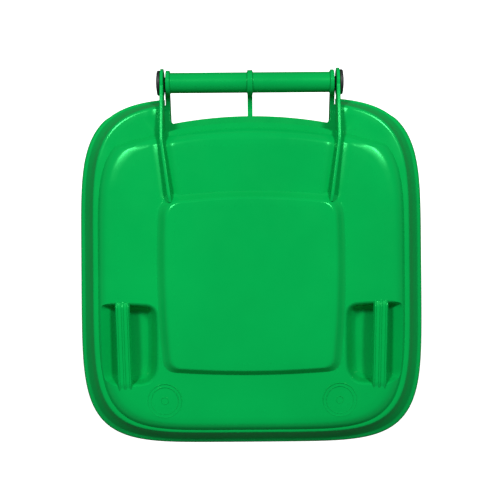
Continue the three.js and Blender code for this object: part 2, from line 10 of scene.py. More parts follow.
import bmesh
import bpy
import numpy as np
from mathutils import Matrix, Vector


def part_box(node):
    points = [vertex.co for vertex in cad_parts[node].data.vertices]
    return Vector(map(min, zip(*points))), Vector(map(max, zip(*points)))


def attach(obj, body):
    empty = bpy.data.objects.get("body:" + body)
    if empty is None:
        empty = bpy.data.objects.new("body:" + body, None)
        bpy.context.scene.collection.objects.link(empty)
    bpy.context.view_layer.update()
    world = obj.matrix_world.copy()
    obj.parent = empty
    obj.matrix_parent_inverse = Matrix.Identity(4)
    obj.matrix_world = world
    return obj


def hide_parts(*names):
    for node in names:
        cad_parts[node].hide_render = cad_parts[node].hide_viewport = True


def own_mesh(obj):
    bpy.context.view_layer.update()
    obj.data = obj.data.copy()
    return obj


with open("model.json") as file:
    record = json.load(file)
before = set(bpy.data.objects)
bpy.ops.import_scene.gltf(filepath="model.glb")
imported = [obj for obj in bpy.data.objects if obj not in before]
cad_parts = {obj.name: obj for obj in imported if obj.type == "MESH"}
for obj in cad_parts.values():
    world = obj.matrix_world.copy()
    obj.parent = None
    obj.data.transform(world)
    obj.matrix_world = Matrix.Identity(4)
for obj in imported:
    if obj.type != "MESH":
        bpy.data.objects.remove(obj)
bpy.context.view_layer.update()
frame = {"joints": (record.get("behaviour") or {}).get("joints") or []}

MM = 0.001
scene = bpy.context.scene


# ---- Places taken from the frame ----

def box_mm(node):
    """A CAD node's lowest and highest corners in millimetres."""
    return [np.array(corner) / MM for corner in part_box(node)]


def joint_mm(name):
    """Where a hinge's axis stands, in millimetres."""
    joint = next(joint for joint in frame["joints"] if joint["name"] == name)
    return np.array(joint["pos_m"]) / MM


LID_LOW, LID_HIGH = box_mm("lid")
HALF_WIDTH = LID_HIGH[0]
LID_FRONT = LID_LOW[1]
PANEL_TOP = LID_HIGH[2]
HINGE_Y, HINGE_Z = joint_mm("lid_hinge")[1:]
EYE_RADIUS = LID_HIGH[1] - HINGE_Y
WHEEL_CENTRE = joint_mm("right_wheel_spin")
TYRE_RADIUS = box_mm("right_tyre")[1][2] - WHEEL_CENTRE[2]

# ---- Driving dimensions ----

CENTRE_Y = -6.5          # the widest line of the outlines
FRONT_SQUARER = 0.3      # the front corners are a little squarer than the back ones
BACK_ROUNDER = 0.4
LID_BACK = 235.0
LID_WALL = 3.0
BODY_WALL = 3.5
RIM_TOP = 888.0
RIM_BOTTOM = 846.0
RIM_HALF_WIDTH = 243.5
RIM_FRONT = -265.5
RIM_BACK = 221.0
BODY_TOP = 887.0
BODY_FLOOR = 14.0
ARM_INNER = 124.8
ARM_THICKNESS = 5.2
EYE_BORE = 8.5
TUBE_RADIUS = 14.8
TUBE_HALF_LENGTH = 122.0
TUBE_RING_RADIUS = 18.0
AXLE_RADIUS = 10.0
WELL_RADIUS = 113.0
WELL_X = 149.0
GAP = 0.4

RING_POINTS = 288        # points round each level outline of the body and lid
ROUND_POINTS = 96        # points round a turned piece

BELOW, ABOVE = 800.0, 1000.0     # heights clear of the lid and rim, for cutting tools
ASIDE, BEHIND = 300.0, 330.0     # and places clear of the bin to the side and behind
INWARD_SHARES = np.linspace(0.92, 0.04, 12)     # how rings shrink towards the middle of a level face


# ---- Meshes from lists of points ----

def mesh_object(name, points, faces):
    """A closed mesh in metres with its faces pointing out."""
    mesh = bpy.data.meshes.new(name)
    mesh.from_pydata((np.asarray(points, float) * MM).tolist(), [], faces)
    work = bmesh.new()
    work.from_mesh(mesh)
    bmesh.ops.recalc_face_normals(work, faces=work.faces)
    work.to_mesh(mesh)
    work.free()
    obj = bpy.data.objects.new(name, mesh)
    scene.collection.objects.link(obj)
    return obj


def loft(rings, name="loft", looped=False):
    """A closed skin through rings of equal length. Looped joins the last ring to the first."""
    rings = [np.asarray(ring, float) for ring in rings]
    count = len(rings[0])
    faces = []
    pairs = len(rings) if looped else len(rings) - 1
    for row in range(pairs):
        low, high = row * count, ((row + 1) % len(rings)) * count
        for i in range(count):
            j = (i + 1) % count
            faces.append((low + i, low + j, high + j, high + i))
    if not looped:
        faces.append(tuple(range(count))[::-1])
        faces.append(tuple((len(rings) - 1) * count + i for i in range(count)))
    return mesh_object(name, np.concatenate(rings), faces)


def combine(base, tool, operation):
    """Joins, cuts or intersects base with tool, and uses tool up."""
    modifier = base.modifiers.new("combine", "BOOLEAN")
    modifier.operation = operation
    modifier.solver = "MANIFOLD"
    modifier.object = tool
    depsgraph = bpy.context.evaluated_depsgraph_get()
    result = bpy.data.meshes.new_from_object(base.evaluated_get(depsgraph))
    base.modifiers.clear()
    old = base.data
    base.data = result
    bpy.data.meshes.remove(old)
    bpy.data.objects.remove(tool)
    return base


def join(base, *tools):
    for tool in tools:
        combine(base, tool, "UNION")
    return base


def cut(base, *tools):
    for tool in tools:
        combine(base, tool, "DIFFERENCE")
    return base


def keep_inside(base, tool):
    return combine(base, tool, "INTERSECT")


def both(make):
    """A solid and its partner on the other side, as a list."""
    return [make(1), make(-1)]


# ---- Outlines and profiles ----

def smoothstep(low, high, value):
    t = np.clip((value - low) / (high - low), 0, 1)
    return t * t * (3 - 2 * t)


def spaced(points, count):
    """count points at even distances along a run of points, without its last one."""
    steps = np.r_[0, np.cumsum(np.linalg.norm(np.diff(points, axis=0), axis=1))]
    wanted = np.linspace(0, steps[-1], count, endpoint=False)
    return np.c_[np.interp(wanted, steps, points[:, 0]), np.interp(wanted, steps, points[:, 1])]


def quarter(half_width, depth, power):
    """A quarter of a superellipse, from the side to the back or front."""
    turn = np.linspace(0, math.pi / 2, 600)
    return np.c_[half_width * np.cos(turn) ** (2 / power), CENTRE_Y + depth * np.sin(turn) ** (2 / power)]


def outline(half_width, front, back, power, count=RING_POINTS):
    """A superellipse in plan whose front and back halves have their own depth and squareness."""
    back_run = quarter(half_width, back - CENTRE_Y, power - BACK_ROUNDER)
    front_run = quarter(half_width, front - CENTRE_Y, power + FRONT_SQUARER)
    mirror = [-1, 1]
    runs = [back_run, (back_run * mirror)[::-1], front_run * mirror, front_run[::-1]]
    return np.concatenate([spaced(run, count // 4) for run in runs])


def level(points, z):
    return np.c_[points, np.full(len(points), float(z))]


def soften(stations, reach, steps=4):
    """Rounds each corner of a run of stations, starting within reach of it."""
    points = [np.array(station, float) for station in stations]
    out = [points[0]]
    for before, corner, after in zip(points, points[1:], points[2:]):
        ends = []
        for end in (before, after):
            length = np.linalg.norm((end - corner)[:2])
            ends.append(corner + (end - corner) * min(0.5, reach / max(length, 1e-6)))
        for step in range(steps + 1):
            t = step / steps
            out.append((1 - t) ** 2 * ends[0] + 2 * t * (1 - t) * corner + t * t * ends[1])
    out.append(points[-1])
    return out


def ring_of(station):
    """A level ring from (height, half width, front, back, power)."""
    z, half_width, front, back, power = station
    return level(outline(half_width, front, back, power), z)


def domed(last_ring, rise, rows, smallest=0.02):
    """Rings that carry on from last_ring to the middle, rising in an even dome."""
    middle = np.array([0.0, CENTRE_Y])
    rings = []
    for row in range(1, rows + 1):
        share = 1 - (1 - smallest) * row / rows
        plan = middle + (last_ring[:, :2] - middle) * share
        rings.append(level(plan, last_ring[0, 2] + rise * (1 - share ** 2)))
    return rings


def bowed_outline(corners, bows, radii, per_edge=14, per_corner=10):
    """A four-sided outline whose corners and bowed-out edges have their own radii and rise."""
    corners = [np.array(corner, float) for corner in corners]
    middle = sum(corners) / len(corners)
    runs = []
    for i, start in enumerate(corners):
        end = corners[(i + 1) % len(corners)]
        along = (end - start) / np.linalg.norm(end - start)
        outwards = np.array([along[1], -along[0]])
        if outwards @ (start - middle) < 0:
            outwards = -outwards
        t = np.linspace(0, 1, per_edge)[:, None]
        first, last = start + along * radii[i], end - along * radii[(i + 1) % len(corners)]
        runs.append(first + (last - first) * t + outwards * bows[i] * 4 * t * (1 - t))
    points = []
    for i, run in enumerate(runs):
        points.extend(run)
        corner = corners[(i + 1) % len(corners)]
        finish = runs[(i + 1) % len(runs)][0]
        for step in range(1, per_corner):
            t = step / per_corner
            points.append((1 - t) ** 2 * run[-1] + 2 * t * (1 - t) * corner + t * t * finish)
    return np.array(points)


def spread(points, distance):
    """An outline pushed outwards by distance, each point along its own normal."""
    ahead, behind = np.roll(points, -1, axis=0), np.roll(points, 1, axis=0)
    along = ahead - behind
    normal = np.c_[along[:, 1], -along[:, 0]] / np.linalg.norm(along, axis=1)[:, None]
    area = np.sum(points[:, 0] * ahead[:, 1] - ahead[:, 0] * points[:, 1])
    return points + normal * distance * np.sign(area)


def stepped(points, stations):
    """Rings of one outline, from (distance outwards, height) stations."""
    return [level(spread(points, distance), z) for distance, z in stations]


def turned(profile, points=ROUND_POINTS, reach=0.0, name="turned"):
    """A solid turned about the X axis, from [radius, x] stations.

    The first and last station are on the axis, or meet and close a ring.
    """
    run = [np.array(station, float) for station in profile]
    looped = np.allclose(run[0], run[-1]) and run[0][0] > 0
    if reach:
        run = soften(run, reach, 3)
    if looped:
        run = run[:-1]
    angle = np.linspace(0, 2 * math.pi, points, endpoint=False)
    rings = []
    for radius, x in run:
        radius = max(radius, 0.02)
        rings.append(np.c_[np.full(points, x), radius * np.cos(angle), radius * np.sin(angle)])
    return loft(rings, name, looped)


def placed(obj, x, y, z, side=1):
    """Moves a mesh's own points, mirrored across X for side -1."""
    coordinates = np.array([vertex.co for vertex in obj.data.vertices])
    coordinates[:, 0] *= side
    coordinates += np.array([x, y, z]) * MM
    obj.data.vertices.foreach_set("co", coordinates.ravel())
    if side < 0:
        obj.data.flip_normals()
    obj.data.update()
    return obj


def block(x0, x1, y0, y1, z0, z1):
    corners = np.array([(x0, y0), (x1, y0), (x1, y1), (x0, y1)], float)
    return loft([level(corners, z0), level(corners, z1)], "block")


def sided(side, near, far):
    return sorted((side * near, side * far))


def side_plate(points, x0, x1):
    """A plate between two X positions, from an outline drawn in Y and Z."""
    points = np.array(points, float)
    rings = [np.c_[np.full(len(points), x), points] for x in (x0, x1)]
    return loft(rings, "plate")


def curve_run(start, control, end, steps=10):
    t = np.linspace(0, 1, steps)[:, None]
    start, control, end = (np.array(point, float) for point in (start, control, end))
    return ((1 - t) ** 2 * start + 2 * t * (1 - t) * control + t * t * end).tolist()


# ---- Lid ----

TERRACE_TOP = 919.6       # the level step round the foot of the crown, widest behind it
LID_STATIONS = [
    (873.0, HALF_WIDTH - 0.8, LID_FRONT + 0.8, LID_BACK - 0.8, 5),
    (874.5, HALF_WIDTH, LID_FRONT, LID_BACK, 5),
    (885.0, HALF_WIDTH - 0.3, LID_FRONT + 0.3, LID_BACK - 0.2, 5),
    (888.5, HALF_WIDTH - 1.7, LID_FRONT + 1.7, LID_BACK - 0.9, 5),
    (890.0, HALF_WIDTH - 4.0, LID_FRONT + 3.8, LID_BACK - 2.0, 5),
    (890.7, HALF_WIDTH - 7.0, LID_FRONT + 6.4, LID_BACK - 3.8, 5),
    (893.0, 242.2, -265.6, 230.2, 5),
    (897.0, 239.4, -263.3, 229.0, 5),
    (903.0, 235.3, -259.8, 226.8, 5),
    (910.5, 231.6, -256.6, 224.4, 5),
    (915.8, 229.4, -254.6, 222.6, 5),
    (918.2, 228.0, -253.3, 221.2, 5),
    (919.2, 226.0, -251.4, 219.0, 5),
    (TERRACE_TOP, 218.0, -246.0, 213.0, 5),
    (TERRACE_TOP + 0.1, 190, -220, 190, 5),
]
CROWN_STATIONS = [
    (905.0, 221.2, -249.5, 196.0, 5),
    (919.6, 220.8, -249.2, 194.5, 5),
    (923.0, 218.6, -247.2, 190.5, 5),
    (926.8, 214.4, -243.6, 185.0, 5),
    (929.7, 209.0, -239.2, 178.5, 5),
    (931.1, 202.0, -232.5, 170.0, 5),
]
CROWN_RISE = 3.6
CROWN_EDGE_SLOPE = 34.0   # how steeply the crown falls outside its top outline
CROWN_BACK = 188.0        # where the crown ends behind, between the arms
CROWN_BACK_STEP = 5.5     # how much further back it ends outside the arms
BACK_EDGE = 192.0         # where the lid ends behind, between the arms
BACK_FOOT = 195.5         # the narrow ledge below it
LEDGE_TOP = 901.5
GROOVE_DEPTH = 3.6        # soft valley in which each arm stands
GROOVE_FLAT, GROOVE_REACH = 3, 15     # from the arm's middle to where the valley rises and ends
GROOVE_START, GROOVE_FULL = 70, 92    # Y from which the valley sinks in, and where it is deepest
CROWN_CEILING = 931.5
CROWN_ROLL = 18           # how far ahead of its back edge the crown starts to round down
CROWN_FALL = 15
ARM_BEND_Y = 168.0
ARM_SLANT = 0.14
ARM_FRONT_Y = 78.0


BOW_FLATNESS = 1240       # twice the radius of the bowed back edge


def bow(middle, x):
    """The lid's back edge between the arms bows towards the handle."""
    return middle - x * x / BOW_FLATNESS


def behind_bow(middle, half_width, low, high):
    x = np.linspace(half_width, -half_width, 49)
    edge = np.c_[x, bow(middle, x)]
    points = np.r_[[[-half_width, BEHIND], [half_width, BEHIND]], edge]
    return loft([level(points, low), level(points, high)])


def arm_x(y):
    """The middle of an arm: straight ahead from the hinge, then slanting in to the panel's corner."""
    blend = 8.0
    ahead = ARM_BEND_Y - np.asarray(y, float)
    eased = np.where(ahead > blend, ahead, np.clip(ahead + blend, 0, None) ** 2 / (4 * blend))
    return ARM_INNER + ARM_THICKNESS / 2 - ARM_SLANT * eased


def groove(x, y):
    distance = np.abs(np.abs(x) - arm_x(y))
    across = 1 - smoothstep(GROOVE_FLAT, GROOVE_REACH, distance)
    return GROOVE_DEPTH * across * smoothstep(GROOVE_START, GROOVE_FULL, y)


def shaped(rings, down, back):
    """Rounds the top down to the bowed back edge, and sinks it beside the arms."""
    out = []
    for ring in rings:
        x, y, z = ring.T
        end = bow(back, x) + CROWN_BACK_STEP * smoothstep(120, 136, np.abs(x))
        ahead = np.clip((end - y) / CROWN_ROLL, -1, 1)
        ceiling = CROWN_CEILING - down - CROWN_FALL * (1 - ahead) ** 2
        z = np.where(z > CROWN_STATIONS[0][0], np.minimum(z, ceiling), z)
        z = z - groove(x, y) * smoothstep(906, 919, z + down)
        out.append(np.c_[x, y, z])
    return out


def inset(stations, by):
    return [(z - by, width - by, front + by, back - by, power) for z, width, front, back, power in stations]


def crown_height(x, y):
    """The height of the crown's top at a place in plan."""
    edge, half_width, front, _, power = CROWN_STATIONS[-1]
    reach = ((np.abs(x) / half_width) ** power + (np.abs(y - CENTRE_Y) / (CENTRE_Y - front)) ** power)
    share = reach ** (1 / power)
    return edge + np.where(share < 1, CROWN_RISE * (1 - share ** 2), -CROWN_EDGE_SLOPE * (share - 1))


def lid_dome(stations, rise, rows, by, back):
    rings = [ring_of(station) for station in soften(inset(stations, by), 2.6)]
    rings += domed(rings[-1], rise, rows)
    return loft(shaped(rings, by, back), "lid_part")


PANEL_TOP_CORNERS = [(-120, 78), (-113, -158), (113, -158), (120, 78)]
PANEL_FOOT_CORNERS = [(-133, 88), (-126, -164.5), (126, -164.5), (133, 88)]
PANEL_BOWS = [3.5, 3.5, 3.5, 5.0]
PANEL_TOP_RADII = [27, 17, 17, 27]
PANEL_FOOT_RADII = [35, 21, 21, 35]
PANEL_WALL = 12.5         # the distance inwards at which the foot's outline has become the top's
PANEL_RISE = 0.7          # from the panel's edge to its middle
PANEL_EDGE = PANEL_TOP - PANEL_RISE
PANEL_STATIONS = [(-5, 929.5), (1.0, 933.0), (10.0, PANEL_EDGE - 1.1), (14.5, PANEL_EDGE)]


def panel(by):
    """The raised panel in the middle: wide soft walls, but a steep one in front."""
    top = bowed_outline(PANEL_TOP_CORNERS, PANEL_BOWS, PANEL_TOP_RADII)
    foot = bowed_outline(PANEL_FOOT_CORNERS, PANEL_BOWS, PANEL_FOOT_RADII)
    rings = []
    for distance, z in soften(PANEL_STATIONS, 3.5):
        share = (distance + by) / PANEL_WALL
        rings.append(level(foot + (top - foot) * share, z - by))
    plan = rings[-1][:, :2]
    middle = plan.mean(axis=0)
    for share in INWARD_SHARES:
        z = PANEL_EDGE + PANEL_RISE * (1 - share ** 2) - by
        rings.append(level(middle + (plan - middle) * share, z))
    return loft(rings, "panel")


def lid_block(by):
    """The lid filled in: its outside, or its inside when it is shrunk by the wall."""
    whole = lid_dome(LID_STATIONS, 0.4, 16, by, 400)
    join(whole, lid_dome(CROWN_STATIONS, CROWN_RISE, 56, by, CROWN_BACK))
    cut(whole, behind_bow(BACK_FOOT - by, ARM_INNER + by, BELOW, ABOVE))
    cut(whole, behind_bow(BACK_EDGE - by, ARM_INNER + by, LEDGE_TOP - by, ABOVE))
    return join(whole, panel(by))


ARM_TOP = 938
ARM_CREST = 1.6           # how high the rounded top of the arm stands above its sides
ARM_TOP_RUN = np.array(
    [(ARM_FRONT_Y - 1, 940.5), (ARM_FRONT_Y + 8, 942.4), (ARM_BEND_Y, ARM_TOP)]
    + curve_run((ARM_BEND_Y, ARM_TOP), (213, 932), (HINGE_Y - 5.3, HINGE_Z + 19.6))[1:]
    + [(HINGE_Y, HINGE_Z + 19)]
)
ARM_LOW_RUN = np.array([(80, 925), (182, 925), (190, 899), (222, 899), (234, 902), (HINGE_Y, 902)])


def arm(side):
    """A thin upright rib from the hinge eye to the corner of the panel."""
    rings = []
    for y in np.linspace(ARM_FRONT_Y, HINGE_Y, 90):
        top = np.interp(y, ARM_TOP_RUN[:, 0], ARM_TOP_RUN[:, 1])
        low = np.interp(y, ARM_LOW_RUN[:, 0], ARM_LOW_RUN[:, 1])
        half, middle = ARM_THICKNESS / 2, arm_x(y)
        turn = np.linspace(0, math.pi, 9)
        across = np.r_[-half, half, half * np.cos(turn)]
        height = np.r_[low, low, top - ARM_CREST + ARM_CREST * np.sin(turn)]
        rings.append(np.c_[side * (middle + across), np.full(len(across), y), height])
    bar = loft(rings, "arm")
    inner, outer = ARM_INNER, ARM_INNER + ARM_THICKNESS
    eye_profile = [(0, inner), (EYE_RADIUS - 3, inner), (EYE_RADIUS, inner + 0.6),
                   (EYE_RADIUS, outer - 0.6), (EYE_RADIUS - 3, outer), (0, outer)]
    return join(bar, placed(turned(eye_profile), 0, HINGE_Y, HINGE_Z, side))


POCKET_CORNERS = [(136.5, -70), (136.5, -182.5), (222, -178), (222, -67)]
POCKET_BOWS = [0.5, 2.5, 0, 0.5]
POCKET_RADII = [17, 30, 14, 10]
POCKET_STATIONS = [(4.6, 944), (4.4, 931.8), (2.4, 930.9), (0.7, 929.4),
                   (-0.5, 927), (-1.8, 921), (-4.4, 911), (-10.0, 905)]
POCKET_FLOOR = 902.4
POCKET_RAMP = 25.0        # how far the outer side leans in between the crown's top and the floor
POCKET_INNER_RAMP = 5.0   # and the inner side
POCKET_RAMP_TOP = 930.0
POCKET_OUTER_SPAN = (150, 214)    # X over which the outer ramp comes in
POCKET_INNER_SPAN = (136, 176)    # and over which the inner one dies out


def pocket(side, by):
    """The hand pocket near a front corner, or its housing when it is grown by the wall."""
    plan = bowed_outline(POCKET_CORNERS, POCKET_BOWS, POCKET_RADII)
    stations = soften([(distance + by, z - by) for distance, z in POCKET_STATIONS], 2.5)
    rings = stepped(plan * [side, 1], stations)
    for ring in rings:
        outward = smoothstep(*POCKET_OUTER_SPAN, np.abs(ring[:, 0]))
        down = np.clip((POCKET_RAMP_TOP - by - ring[:, 2]) / (POCKET_RAMP_TOP - POCKET_FLOOR), 0, 1)
        inward = 1 - smoothstep(*POCKET_INNER_SPAN, np.abs(ring[:, 0]))
        ring[:, 0] += side * (POCKET_INNER_RAMP * inward - POCKET_RAMP * outward) * down
    last = rings[-1]
    middle = last[:, :2].mean(axis=0)
    for share in INWARD_SHARES:
        z = POCKET_FLOOR - by + (last[0, 2] - POCKET_FLOOR + by) * share ** 3
        rings.append(level(middle + (last[:, :2] - middle) * share, z))
    return loft(rings, "pocket")


GRIP_BACK = -52.0
GRIP_FRONT = -199.0
GRIP_X = 185.4            # the bar's back end stands further out than its front end
GRIP_LEAN = 4.4
GRIP_HALF_WIDTH = 10.6
GRIP_RIDGE = 8.3          # between ridges
GRIP_RIDGE_HALF = 2.1
GRIP_RIDGE_RISE = 1.9
GRIP_END = 928.4          # the bar's top at its sunk ends
GRIP_ARCH = 4.6           # and how far it rises in between
GRIP_EDGE_DROP = 2.2


def grip_bar(side):
    """The bar across a pocket: an arch with three ridges along it."""
    rings = []
    for share in np.linspace(0, 1, 80):
        arch = smoothstep(0, 0.15, share) * (1 - smoothstep(0.86, 1, share))
        top = GRIP_END + GRIP_ARCH * arch
        across = np.linspace(-GRIP_HALF_WIDTH, GRIP_HALF_WIDTH, 61)
        off_ridge = np.abs(across - GRIP_RIDGE * np.round(across / GRIP_RIDGE))
        ridge = np.clip(1 - (off_ridge / GRIP_RIDGE_HALF) ** 2, 0, 1)
        edge = GRIP_EDGE_DROP * smoothstep(0.8, 1, np.abs(across) / GRIP_HALF_WIDTH)
        crest = top + GRIP_RIDGE_RISE * arch * ridge - edge
        turn = np.linspace(0, math.pi, 13)[1:-1]
        depth = 3.5 + 7 * arch
        under = np.c_[GRIP_HALF_WIDTH * np.cos(turn), top - GRIP_EDGE_DROP - depth * np.sin(turn)]
        middle = GRIP_X - GRIP_LEAN * share
        x = side * (middle + np.r_[across, under[:, 0]])
        y = GRIP_BACK + (GRIP_FRONT - GRIP_BACK) * share
        rings.append(np.c_[x, np.full(len(x), y), np.r_[crest, under[:, 1]]])
    return loft(rings, "grip")


MARK_X, MARK_Y = 125.0, -205.0
MARK_RADII = (24.0, 19.4, 5.0)
MARK_SUNK = 0.35          # how far below the crown the middle of a ring's wire lies


def raised_ring(side, radius, thickness=0.75):
    """A plain low ring standing on the crown near a front corner."""
    rings = []
    turn = np.linspace(0, 2 * math.pi, 10, endpoint=False)
    for angle in np.linspace(0, 2 * math.pi, 84, endpoint=False):
        reach = radius + thickness * np.cos(turn)
        x = side * MARK_X + reach * math.cos(angle)
        y = MARK_Y + reach * math.sin(angle)
        foot = crown_height(side * MARK_X + radius * math.cos(angle), MARK_Y + radius * math.sin(angle))
        rings.append(np.c_[x, y, foot - MARK_SUNK + thickness * np.sin(turn)])
    return loft(rings, "ring", looped=True)


CENTRING_LOW = 878.0
CENTRING_HALF_WIDTH, CENTRING_FRONT, CENTRING_BACK = 212, -235, 181
CENTRING_WALL = 3


def centring_rib():
    """The rib under the lid that finds the body's mouth."""
    def filled(by, low):
        plan = outline(CENTRING_HALF_WIDTH - by, CENTRING_FRONT + by, CENTRING_BACK - by, 5)
        whole = loft([level(plan, low), level(plan, 940 + by)])
        return cut(whole, behind_bow(CENTRING_BACK - by, ASIDE, BELOW, ABOVE))
    rib = cut(filled(0, CENTRING_LOW), filled(CENTRING_WALL, CENTRING_LOW - 4))
    keep_inside(rib, lid_block(1.0))
    for side in (1, -1):
        cut(rib, block(*sided(side, 138, ASIDE), -202, -58, 860, 970))
    return rib


def eye_bore(side):
    near, far = ARM_INNER - 3, ARM_INNER + ARM_THICKNESS + 3
    bore = turned([(0, near), (EYE_BORE, near), (EYE_BORE, far), (0, far)])
    return placed(bore, 0, HINGE_Y, HINGE_Z, side)


def make_lid():
    lid = cut(lid_block(0), lid_block(LID_WALL))
    for side in (1, -1):
        join(lid, keep_inside(pocket(side, LID_WALL), lid_block(0)))
        cut(lid, pocket(side, 0))
    join(lid, centring_rib(), *both(grip_bar))
    relief = [(150, 860), (300, 860), (300, 889), (206, 889)]
    cut(lid, side_plate(relief, -ASIDE, ASIDE))
    between_arms = ARM_INNER + 6
    cut(lid, block(-between_arms, between_arms, 170, 300, 860, RIM_TOP + 2))
    join(lid, *both(arm))
    cut(lid, *both(eye_bore))
    for radius in MARK_RADII:
        join(lid, *both(lambda side: raised_ring(side, radius)))
    return lid


# ---- Body ----

BODY_POWER = 6.5          # squareness of the body's outline


def body_station(z, by=0.0):
    """The tapered body's outline at a height, as a station."""
    share = (z - BODY_FLOOR) / (BODY_TOP - BODY_FLOOR)
    half_width = 184 + 37 * share
    front = -186 - 59 * share
    back = 172 + 25 * share
    return (z, half_width - by, front + by, back - by, BODY_POWER)


def body_fill(by, low, heights):
    """The body's tapered shape filled in, with a rounded bottom edge."""
    foot = [body_station(low, by + 16), body_station(low + 3, by + 8), body_station(low + 9, by + 3)]
    foot = soften(foot + [body_station(low + 20, by), body_station(low + 34, by)], 4.0)
    return [ring_of(station) for station in foot + [body_station(z, by) for z in heights]]


PLATE_HALF_WIDTH = 118.0
PLATE_LOW, PLATE_HIGH = 470.0, 760.0
PLATE_DEPTH = 1.5
PLATE_EDGE = 9            # width of the soft step round it


def with_front_panel(rings):
    """Sinks a shallow level panel into the front wall."""
    out = []
    for ring in rings:
        x, y, z = ring.T
        across = 1 - smoothstep(PLATE_HALF_WIDTH - PLATE_EDGE, PLATE_HALF_WIDTH, np.abs(x))
        up = smoothstep(PLATE_LOW, PLATE_LOW + PLATE_EDGE, z)
        up *= 1 - smoothstep(PLATE_HIGH - PLATE_EDGE, PLATE_HIGH, z)
        front = y < CENTRE_Y - 100
        out.append(np.c_[x, y + PLATE_DEPTH * across * up * front, z])
    return out


AXLE_Y, AXLE_Z = WHEEL_CENTRE[1:]


def wheel_room(grow):
    """What the body leaves free for the wheels and the axle, as solids."""
    rooms = []
    for side in (1, -1):
        radius, near = WELL_RADIUS + grow, WELL_X - grow
        profile = [(0, near), (radius, near), (radius, 182),
                   (radius + 5, 192), (radius + 6, ASIDE), (0, ASIDE)]
        rooms.append(placed(turned(profile, reach=2.5), 0, AXLE_Y, AXLE_Z, side))
        rooms.append(block(*sided(side, near, ASIDE), 120, 320, -20, AXLE_Z))
    front, back = 139 - grow, 176 + grow * 1.4
    channel = [(front, -20), (front, 126 + grow)]
    channel += curve_run((front, 126 + grow), (front + 2, 138 + grow), (150, 147 + grow), 8)[1:]
    channel += [(185, back), (320, back), (320, -20)]
    rooms.append(side_plate(channel, -ASIDE, ASIDE))
    return rooms


def rim_block():
    """The rim filled in, with a rounded top edge."""
    stations = [(RIM_BOTTOM, 0.9), (RIM_BOTTOM + 1.5, 0), (RIM_TOP - 5.2, 0),
                (RIM_TOP - 1.4, 2.9), (RIM_TOP, 6), (RIM_TOP, 12)]
    full = [(z, RIM_HALF_WIDTH - by, RIM_FRONT + by, RIM_BACK - by, 5) for z, by in stations]
    return loft([ring_of(station) for station in soften(full, 2.0)], "rim")


BAND_HALF_WIDTH = 119
BAND_INNER, BAND_OUTER = 189, 206.5
BAND_WALL = 3.5


def rear_band():
    """The rim behind the lid, between the brackets of the handle."""
    rings = []
    turn = np.linspace(math.pi / 2, 0, 6)
    for x in np.linspace(-BAND_HALF_WIDTH, BAND_HALF_WIDTH, 60):
        inner, outer = bow(BAND_INNER, x), bow(BAND_OUTER, x)
        corner = np.c_[outer - 3 + 3 * np.cos(turn), RIM_TOP - 3 + 3 * np.sin(turn)]
        low = RIM_BOTTOM + 15
        section = np.r_[[[inner, RIM_TOP]], corner, [[outer, low], [outer - BAND_WALL, low]],
                        [[outer - BAND_WALL, RIM_TOP - 4], [inner, RIM_TOP - 4]]]
        rings.append(np.c_[np.full(len(section), x), section])
    return loft(rings, "rear_band")


def make_rim():
    """The rim's skirt, open below, with the rear band in place of its back."""
    skirt = 4
    low, high = RIM_BOTTOM - 16, RIM_TOP - skirt
    inner = [(z, RIM_HALF_WIDTH - skirt, RIM_FRONT + skirt, RIM_BACK - skirt, 5) for z in (low, high)]
    rim = cut(rim_block(), loft([ring_of(station) for station in inner]))
    cut(rim, behind_bow(BAND_OUTER, BAND_HALF_WIDTH, BELOW, ABOVE))
    return join(rim, rear_band())


def rim_ribs():
    """Upright ribs inside the rim's skirt; those in front make the lifting comb."""
    low, high = RIM_BOTTOM + 4, RIM_TOP - 2
    ribs = None
    half = 1.5
    places = [(x - half, x + half, -262.5, -238) for x in np.arange(-176, 177, 32)]
    for y in np.arange(-170, 151, 64):
        places += [(*sided(side, 216, 241), y - half, y + half) for side in (1, -1)]
    for x0, x1, y0, y1 in places:
        rib = block(x0, x1, y0, y1, low, high)
        ribs = rib if ribs is None else join(ribs, rib)
    return keep_inside(ribs, rim_block())


def handle_tube():
    """The tube across the back, with a ring round its middle and each end."""
    half, ring, radius = TUBE_HALF_LENGTH, TUBE_RING_RADIUS, TUBE_RADIUS
    right = [(radius, 5), (radius, half - 6.6), (ring - 0.8, half - 5.8), (ring, half - 5),
             (ring, half - 0.6), (ring - 1, half), (0, half)]
    left = [(r, -x) for r, x in right][::-1]
    middle = [(radius + 0.4, -4.1), (ring - 0.8, -4.0), (ring, -3.2),
              (ring, 3.2), (ring - 0.8, 4.0), (radius + 0.4, 4.1)]
    tube = turned(left + middle + right, reach=0.5)
    return placed(tube, 0, HINGE_Y, HINGE_Z)


def handle_bore():
    """The hollow of the tube, narrower at the ends where the hinge pins sit."""
    deep, wide, beyond = TUBE_HALF_LENGTH - 35, 10.3, 140
    profile = [(0, -beyond), (EYE_BORE, -beyond), (EYE_BORE, -deep - 2), (wide, -deep),
               (wide, deep), (EYE_BORE, deep + 2), (EYE_BORE, beyond), (0, beyond)]
    return placed(turned(profile), 0, HINGE_Y, HINGE_Z)


WEB_EDGE = 1.2
WEB_X = 120.9             # the middle of each outer web, right inside the lid's arm
WEB_HALF_WIDTH = 3.3
WEB_MIDDLE_HALF_WIDTH = 3.7
WEB_START = 186
WEB_FILLET = 6
GUSSET = 3.4              # widens the web under the lid's arm, short of where the arm swings down
GUSSET_BACK = 224.5


